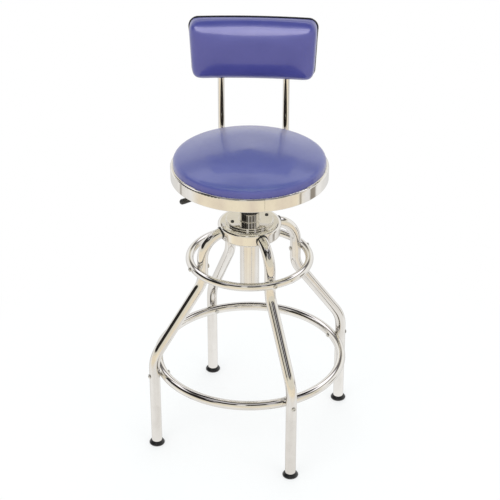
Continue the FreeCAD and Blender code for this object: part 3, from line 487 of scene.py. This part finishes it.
def seat_cushion():
    """The round cushion: held below the band's lip, blown up and out over it."""
    bulge = 2.5 * MM
    bulge_start = 4 * MM
    edge_power = 4
    held_below, free_above = 3 * MM, 2 * MM
    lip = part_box("seat_band")[1].z
    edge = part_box("seat_cushion")[1].x
    form = scratch_object("seat_form", frame["nodes"]["seat_cushion"].data.copy())
    even_out(form, voxel=3.5 * MM)
    for vertex in form.data.vertices:
        share = smoothstep(lip, lip + bulge_start, vertex.co.z)
        radius = vertex.co.xy.length
        outward = share * bulge * (radius / edge) ** edge_power
        vertex.co.xy *= 1 + outward / edge
        vertex.co.z += share * bulge

    def held(spot):
        return 1 - smoothstep(lip - held_below, lip + free_above, spot.z)

    piece = finish_cushion(form, "seat_cushion_soft", held, cap=4 * MM)
    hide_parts("seat_cushion")
    return piece


# ---- backrest ------------------------------------------------------------------------------------

def bow_of(node):
    """Depth of a bowed panel's back at the middle, and the radius it is bowed to."""
    decimals = 4  # points whose x agrees to 0.1 mm are on the same edge
    points = [vertex.co for vertex in frame["nodes"][node].data.vertices]
    back = max(point.y for point in points)
    edge = max(points, key=lambda point: (round(point.x, decimals), point.y))
    sag = back - edge.y
    return back, (edge.x ** 2 + sag ** 2) / (2 * sag)


PAD_BACK, PAD_BOW = bow_of("backrest_rear_cover")
PAD_CORNER = 22 * MM  # radius of the rear cover's corners


def sag_at(x):
    """How far the bowed backrest curves forward at a distance x from the middle."""
    return PAD_BOW - math.sqrt(PAD_BOW ** 2 - x ** 2)


class PadOutline:
    """The backrest's outline seen from the front: a trapezoid with rounded corners."""

    def __init__(self, inset=0.0):
        low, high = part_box("backrest_rear_cover")
        points = [vertex.co for vertex in frame["nodes"]["backrest_rear_cover"].data.vertices]
        near_top = [point.x for point in points if point.z > high.z - PAD_CORNER]
        near_bottom = [point.x for point in points if point.z < low.z + PAD_CORNER]
        self.top, self.bottom = high.z - inset, low.z + inset
        self.half_top = max(near_top) - inset
        self.half_bottom = max(near_bottom) - inset
        self.corner = PAD_CORNER - inset

    def half_width(self, z):
        """Half the outline's width at a height."""
        share = (z - self.bottom) / (self.top - self.bottom)
        return self.half_bottom + share * (self.half_top - self.half_bottom)

    def inner_corners(self):
        """Centres of the rounded corners, anticlockwise from the lower left as (x, z)."""
        low, high = self.bottom + self.corner, self.top - self.corner
        wide_low = self.half_width(low) - self.corner
        wide_high = self.half_width(high) - self.corner
        return [(-wide_low, low), (wide_low, low), (wide_high, high), (-wide_high, high)]

    def nearest_outward(self, x, z):
        """Distance in from the outline (negative outside) and the outward direction there."""
        tie = 1e-9
        corners = self.inner_corners()
        best = None
        for (ax, az), (bx, bz) in zip(corners, corners[1:] + corners[:1]):
            length = math.hypot(bx - ax, bz - az)
            along_x, along_z = (bx - ax) / length, (bz - az) / length
            out_x, out_z = along_z, -along_x
            beyond = (x - ax) * out_x + (z - az) * out_z
            along = (x - ax) * along_x + (z - az) * along_z
            if beyond > 0 and not 0 <= along <= length:
                cx, cz = (ax, az) if along < 0 else (bx, bz)
                reach = math.hypot(x - cx, z - cz) or 1
                beyond, out_x, out_z = reach, (x - cx) / reach, (z - cz) / reach
            if best is None or beyond > best[0] + tie:
                best = (beyond, out_x, out_z)
        return self.corner - best[0], best[1], best[2]

    def loop(self, corner_steps=8):
        """Points (x, z) round the outline, anticlockwise."""
        points = []
        for index, (cx, cz) in enumerate(self.inner_corners()):
            for step in range(corner_steps + 1):
                angle = math.radians(180 + 90 * index + 90 * step / corner_steps)
                across, up = self.corner * math.cos(angle), self.corner * math.sin(angle)
                points.append((cx + across, cz + up))
        return points


def depth_behind(spot):
    """How far a point lies in front of the backrest's bowed back."""
    return PAD_BACK - sag_at(spot.x) - spot.y


def flat_slab(outline, back, front):
    """A closed block of the backrest's outline between two depths, not yet bowed."""
    form = bmesh.new()
    rings = [[form.verts.new((x, -depth, z)) for x, z in outline.loop()] for depth in (back, front)]
    count = len(rings[0])
    for index in range(count):
        after = (index + 1) % count
        form.faces.new((rings[0][index], rings[0][after], rings[1][after], rings[1][index]))
    form.faces.new(rings[0][::-1])
    form.faces.new(rings[1])
    bmesh.ops.recalc_face_normals(form, faces=form.faces[:])
    mesh = bpy.data.meshes.new("slab")
    form.to_mesh(mesh)
    form.free()
    return scratch_object("pad_form", mesh)


def rounded(outline, spot, front, wide, deep):
    """Move a point of a flat slab so that its front edges are rounded, wide and deep."""
    inward, out_x, out_z = outline.nearest_outward(spot.x, spot.z)
    across = 1 - inward / wide
    forward = 1 - (front + spot.y) / deep
    if across <= 0 or forward <= 0:
        return spot
    shrink = max(across, forward) / math.hypot(across, forward) - 1
    sideways = shrink * across * wide
    return spot + Vector((out_x * sideways, -shrink * forward * deep, out_z * sideways))


def backrest_cushion():
    """The padding: vinyl drawn over the board's edges, with deep rounded front edges."""
    back = 3 * MM
    edge_width, edge_depth = 32 * MM, 28 * MM
    held_depth, free_depth = 2 * MM, 12 * MM
    solid_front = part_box("backrest_cushion")[0].y
    solid_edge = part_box("backrest_cushion")[1].x
    front = PAD_BACK - solid_front - sag_at(solid_edge)
    outline = PadOutline(inset=1 * MM)
    form = flat_slab(outline, back, front)
    even_out(form, voxel=4 * MM)
    for vertex in form.data.vertices:
        spot = rounded(outline, vertex.co, front, edge_width, edge_depth)
        vertex.co = (spot.x, PAD_BACK - sag_at(spot.x) + spot.y, spot.z)

    def held(spot):
        return 1 - smoothstep(back + held_depth, back + free_depth, depth_behind(spot))

    piece = finish_cushion(form, "backrest_cushion_soft", held, cap=4 * MM)
    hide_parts("backrest_cushion")
    return piece


def backrest_welt():
    """A piped seam round the backrest, between its rear cover and its padding."""
    depth = 2.6 * MM
    steps = 12
    corners = PadOutline(inset=0.5 * MM).loop()
    curve = bpy.data.curves.new("welt", "CURVE")
    curve.dimensions = "3D"
    curve.bevel_depth = 1.3 * MM
    curve.bevel_resolution = 3
    spline = curve.splines.new("POLY")
    spline.use_cyclic_u = True
    spline.points.add(len(corners) * steps - 1)
    for index, point in enumerate(spline.points):
        start, share = index // steps, index % steps / steps
        end = (start + 1) % len(corners)
        x, z = (a + share * (b - a) for a, b in zip(corners[start], corners[end]))
        point.co = (x, PAD_BACK - sag_at(x) - depth, z, 1)
    line = scratch_object("welt_line", curve)
    mesh = finished_mesh(line)
    bpy.data.objects.remove(line)
    new_piece("backrest_welt", mesh, "seat", "black_vinyl")


# ---- stage, light and camera ---------------------------------------------------------------------

def painted_floor_reflection(shader, distance):
    """The floor as the chrome shows it, a painted reflection: it glows cream ahead and paler behind,
    with dull patches painted in far off.
    """
    blotch = shader.noise(1.3, detail=2)
    cream = shader.ramp(blotch, (0.35, (0.92, 0.83, 0.64)), (0.65, (0.80, 0.70, 0.57)))
    pale = shader.ramp(blotch, (0.35, (0.94, 0.935, 0.92)), (0.65, (0.80, 0.78, 0.75)))
    ahead = shader.spread(shader.part(shader.place, "Y"), 1.0, 0.0, start=-0.5, end=-0.1)
    creamy = shader.math("MULTIPLY", ahead, shader.spread(distance, 0.0, 1.0, start=0.5, end=0.95))
    plain = shader.mix(creamy, pale, cream)
    dull = (0.36, 0.33, 0.29)
    # Dull patches painted into the floor's reflection, far off, where nothing stands.
    painted_far_patches = shader.around(
        (-113, WHITE), (-109, dull), (-106, WHITE),
        (74, WHITE), (77, dull), (80, WHITE),
        (94, WHITE), (97, dull), (106, dull), (110, WHITE),
    )
    far = shader.spread(distance, 0.0, 1.0, start=0.8, end=1.1)
    return shader.product(plain, shader.mix(far, WHITE, painted_far_patches))


def floor_material():
    """Pale and softly shaded near the stool, and white to the camera further off; to glossy rays the
    floor glows with its painted reflection, without shadows.
    """
    shader = Shader("studio_floor")
    shader.set(base_color=(0.96, 0.92, 0.915), roughness=0.8, specular_ior_level=0.1)
    ray = shader.add("LightPath")
    from_middle = shader.add("VectorMath", operation="LENGTH")
    shader.feed(shader.place, from_middle.inputs[0])
    distance = from_middle.outputs["Value"]
    glow = shader.add("Emission")
    seen = shader.mix(ray.outputs["Is Camera Ray"], painted_floor_reflection(shader, distance), WHITE)
    shader.feed(seen, glow.inputs["Color"])

    fade = shader.spread(distance, 0.6, 1.0, start=0.25, end=0.9)
    from_camera = shader.math("MULTIPLY", ray.outputs["Is Camera Ray"], fade)
    # Glossy rays always see the glowing painted reflection, never the shaded floor.
    glowing = shader.math("MAXIMUM", from_camera, ray.outputs["Is Glossy Ray"])
    blend = shader.add("MixShader")
    shader.feed(glowing, blend.inputs["Fac"])
    shader.feed(shader.surface.outputs["BSDF"], blend.inputs[1])
    shader.feed(glow.outputs["Emission"], blend.inputs[2])
    shader.feed(blend.outputs["Shader"], shader.tree.nodes["Material Output"].inputs["Surface"])
    return shader.material


def studio_floor():
    """A plain floor, wide enough to fill the view at any angle."""
    side = 24
    bpy.ops.mesh.primitive_plane_add(size=side)
    floor = bpy.context.object
    floor.name = "studio_floor"
    floor.data.materials.append(floor_material())


def softbox(name, place, size, power, colour=WHITE):
    """An area light aimed at the stool, kept out of reflections: those show the painted studio."""
    data = bpy.data.lights.new(name, "AREA")
    data.shape = "RECTANGLE"
    data.size, data.size_y = size
    data.energy = power
    data.color = colour
    light = bpy.data.objects.new(name, data)
    bpy.context.scene.collection.objects.link(light)
    light.location = place
    below_seat = Vector((0, 0, 0.6))
    aim = below_seat - Vector(place)
    light.rotation_euler = aim.to_track_quat("-Z", "Y").to_euler()
    light.visible_glossy = False
    return light


def only_for(light, piece):
    """Let a light reach just one piece."""
    reached = bpy.data.collections.new(f"{light.name}_reaches")
    reached.objects.link(piece)
    light.light_linking.receiver_collection = reached


class Sky(Shader):
    """The world's nodes, worked with as a shader's are."""

    def __init__(self):
        world = bpy.data.worlds.new("studio")
        bpy.context.scene.world = world
        world.use_nodes = True
        self.tree = world.node_tree
        self.surface = self.tree.nodes["Background"]
        self.place = self.add("TexCoord").outputs["Generated"]

    def bands(self, source, *stops):
        """A ramp over elevation, from stops of (degrees, colour)."""
        return self.ramp(source, *((math.sin(math.radians(angle)), colour) for angle, colour in stops))


def room_behind(sky, up):
    """What is mirrored from behind the stool: pale paper, a dim gap above it, then a bright lamp."""
    paper = (0.93, 0.92, 0.90)
    dim = (0.16, 0.15, 0.15)
    bright = (1.25, 1.22, 1.25)
    return sky.bands(
        up, (0, paper), (24, paper), (27, CREAM), (29, CREAM), (31, dim), (37, dim),
        (40, bright), (50, bright), (54, DARK), (90, DARK),
    )


def room_in_front(sky, up):
    """What is mirrored from the camera's side: cream below, a dark room with lit strips above."""
    lamp = (0.95, 0.93, 0.90)
    levels = sky.bands(
        up, (0, CREAM), (24, CREAM), (29, DARK), (53, DARK), (58, LILAC), (72, LILAC),
        (78, DARK), (90, DARK),
    )
    strips = sky.around(
        (-57, DARK), (-54, LILAC), (-42, LILAC), (-39, DARK),
        (-14, DARK), (-11, lamp), (-3, lamp), (0, DARK),
        (23, DARK), (26, LILAC), (34, LILAC), (37, DARK),
        (60, DARK), (63, LILAC), (75, LILAC), (78, DARK),
    )
    strip_height = sky.bands(up, (26, BLACK), (30, WHITE), (46, WHITE), (50, BLACK))
    return sky.mix(strip_height, levels, strips)


def doorway(sky, up):
    """1 within a dark opening to the left of the stool, 0 elsewhere."""
    width = sky.around((-116, BLACK), (-108, WHITE), (-40, WHITE), (-32, BLACK))
    height = sky.bands(up, (5, BLACK), (10, WHITE), (38, WHITE), (44, BLACK))
    return sky.math("MULTIPLY", width, height)


def studio_world():
    """White to the camera, soft light on the stool, and a painted studio in reflections."""
    sky = Sky()
    ray = sky.add("LightPath")
    up = sky.part(sky.place, "Z")
    toward_back = sky.spread(sky.part(sky.place, "Y"), 0.0, 1.0, start=-0.12, end=0.12)
    room = sky.mix(toward_back, room_in_front(sky, up), room_behind(sky, up))
    mirrored = sky.mix(doorway(sky, up), room, DARK)
    ambient = sky.bands(up, (0, (1.0, 0.95, 0.95)), (60, (0.80, 0.97, 1.0)))
    lit = sky.mix(ray.outputs["Is Glossy Ray"], ambient, mirrored)
    shown = sky.mix(ray.outputs["Is Camera Ray"], lit, WHITE)
    sky.set(color=shown, strength=1.0)


def lights(seat_vinyl, backrest_vinyl):
    """Soft light from the front and behind, and one lamp each for the seat and the backrest."""
    softbox("key", place=(-1.4, -2.2, 2.4), size=(1.8, 1.4), power=18)
    softbox("fill", place=(2.0, -1.8, 1.8), size=(1.6, 2.0), power=10)
    softbox("back", place=(0.2, 2.2, 2.4), size=(2.4, 1.2), power=14)
    yellow_green = (0.95, 1.30, 0.38)
    overhead = softbox("overhead", place=(0, -0.3, 2.6), size=(1.2, 1.2), power=24, colour=yellow_green)
    only_for(overhead, seat_vinyl)
    pinkish = (1.0, 0.95, 1.0)
    highlight = softbox("highlight", place=(-0.3, -1.3, 2.2), size=(1.8, 1.6), power=38, colour=pinkish)
    highlight.visible_glossy = True
    highlight.visible_diffuse = False
    only_for(highlight, backrest_vinyl)
    # The backrest's posts show the room's greys, not the blue of the seat before them.
    seat_vinyl.visible_glossy = False


def camera():
    """The photographer's view: from the front, a little to the right, looking down 29 degrees."""
    azimuth = math.radians(2.9)
    tilt = math.radians(29.13)
    distance = 3.0758
    height = 2.1966
    data = bpy.data.cameras.new("camera")
    data.sensor_width = 36
    data.lens = 108.6
    data.shift_x = 0.0008
    view = bpy.data.objects.new("camera", data)
    bpy.context.scene.collection.objects.link(view)
    view.location = (distance * math.sin(azimuth), -distance * math.cos(azimuth), height)
    view.rotation_euler = (math.pi / 2 - tilt, 0, azimuth)
    bpy.context.scene.camera = view


# ---- the scene -----------------------------------------------------------------------------------

dress_cad_nodes()
seat = seat_cushion()
backrest = backrest_cushion()
backrest_welt()
studio_floor()
lights(seat, backrest)
studio_world()
camera()
bpy.context.scene.view_settings.view_transform = "Standard"
